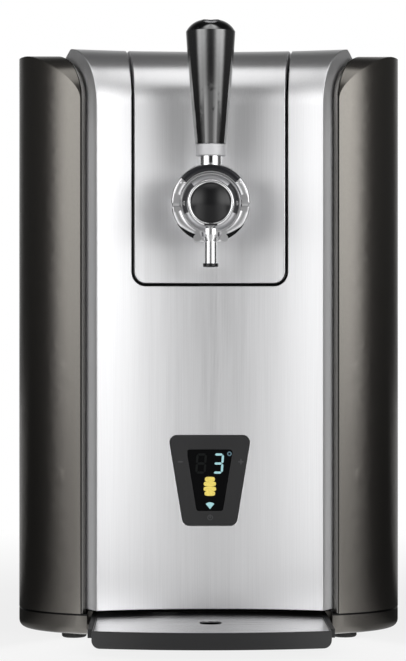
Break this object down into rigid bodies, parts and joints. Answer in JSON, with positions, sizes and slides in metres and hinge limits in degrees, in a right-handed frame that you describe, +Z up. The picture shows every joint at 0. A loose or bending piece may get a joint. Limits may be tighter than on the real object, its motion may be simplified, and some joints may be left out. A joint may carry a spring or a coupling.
{
  "type": "mini keg beer dispenser",
  "caption": "Counter-top cooled dispenser for a small beer keg: tap with lever on a hinged lid, concave metal front with display, dark side shells, slide-out drip tray.",
  "frame": {"origin": "under the middle of the whole object's box, on the surface it stands on", "axes": "+X to the right seen from the front, the tap and tray face -Y, +Z up"},
  "size_m": [0.28, 0.47, 0.4395],
  "materials": {
    "silver": "brushed satin, clear lacquer",
    "graphite": "metallic graphite lacquer",
    "trim": "satin dark grey",
    "black_plastic": "fine moulded grain",
    "gloss_black": "polished",
    "window": "dark glossy window with segments behind",
    "chrome": "polished",
    "steel": "brushed",
    "liner": "satin",
    "foam": "rigid closed-cell foam",
    "rubber": "matte",
    "board": "solder mask",
    "electric": "zinc plated sheet",
    "ceramic": "white ceramic plates"
  },
  "bodies": {
    "housing": {"front_panel": "silver", "left_side_shell": "graphite", "right_side_shell": "graphite", "left_trim_strip": "trim", "right_trim_strip": "trim", "base": "black_plastic", "rear_cover": "black_plastic", "chassis_frame": "black_plastic", "chamber_collar": "black_plastic", "keg_seat": "black_plastic", "fan_housing": "black_plastic", "fan_guard": "black_plastic", "power_inlet": "black_plastic", "hinge_bracket": "black_plastic", "rubber_feet": "rubber", "nozzle_seal": "rubber", "air_hose": "rubber", "air_nozzle": "gloss_black", "display_bezel": "black_plastic", "display_window": "window", "display_board": "board", "control_board": "board", "power_supply": "electric", "air_pump": "electric", "keg_liner": "liner", "cold_block": "liner", "heat_sink": "liner", "peltier_module": "ceramic", "foam_jacket": "foam", "rear_screws": "steel", "hinge_pin": "steel"},
    "lid": {"lid_shell": "silver", "lid_liner": "black_plastic", "lid_gasket": "rubber", "tap_backplate": "chrome", "tap_body": "chrome", "shank_nut": "steel", "tap_ring": "chrome", "ring_insets": "gloss_black", "medallion_bezel": "chrome", "medallion": "gloss_black", "tap_spout": "chrome", "spout_tip": "gloss_black"},
    "lever": {"lever_yoke": "chrome", "yoke_insert": "gloss_black", "pivot_pins": "steel", "handle_neck": "chrome", "handle_ferrule": "steel", "handle_grip": "gloss_black", "handle_badge": "chrome"},
    "tray": {"tray_pan": "black_plastic"},
    "drip_plate": {"tray_plate": "steel"},
    "fan": {"fan_rotor": "black_plastic"}
  },
  "joints": [
    {"name": "lid_hinge", "type": "hinge", "parent": "housing", "child": "lid", "pos_m": [0, 0.121, 0.418], "axis": [-1, 0, 0], "range_deg": [0, 80]},
    {"name": "tap_lever", "type": "hinge", "parent": "lid", "child": "lever", "pos_m": [0, -0.177, 0.311], "axis": [1, 0, 0], "range_deg": [0, 40]},
    {"name": "tray_slide", "type": "slide", "parent": "housing", "child": "tray", "axis": [0, -1, 0], "range_m": [0, 0.13]},
    {"name": "plate_lift", "type": "slide", "parent": "tray", "child": "drip_plate", "axis": [0, 0, 1], "range_m": [0, 0.04]},
    {"name": "fan_spin", "type": "hinge", "parent": "housing", "child": "fan", "pos_m": [0, 0.2, 0.2], "axis": [0, 1, 0], "continuous": true}
  ]
}
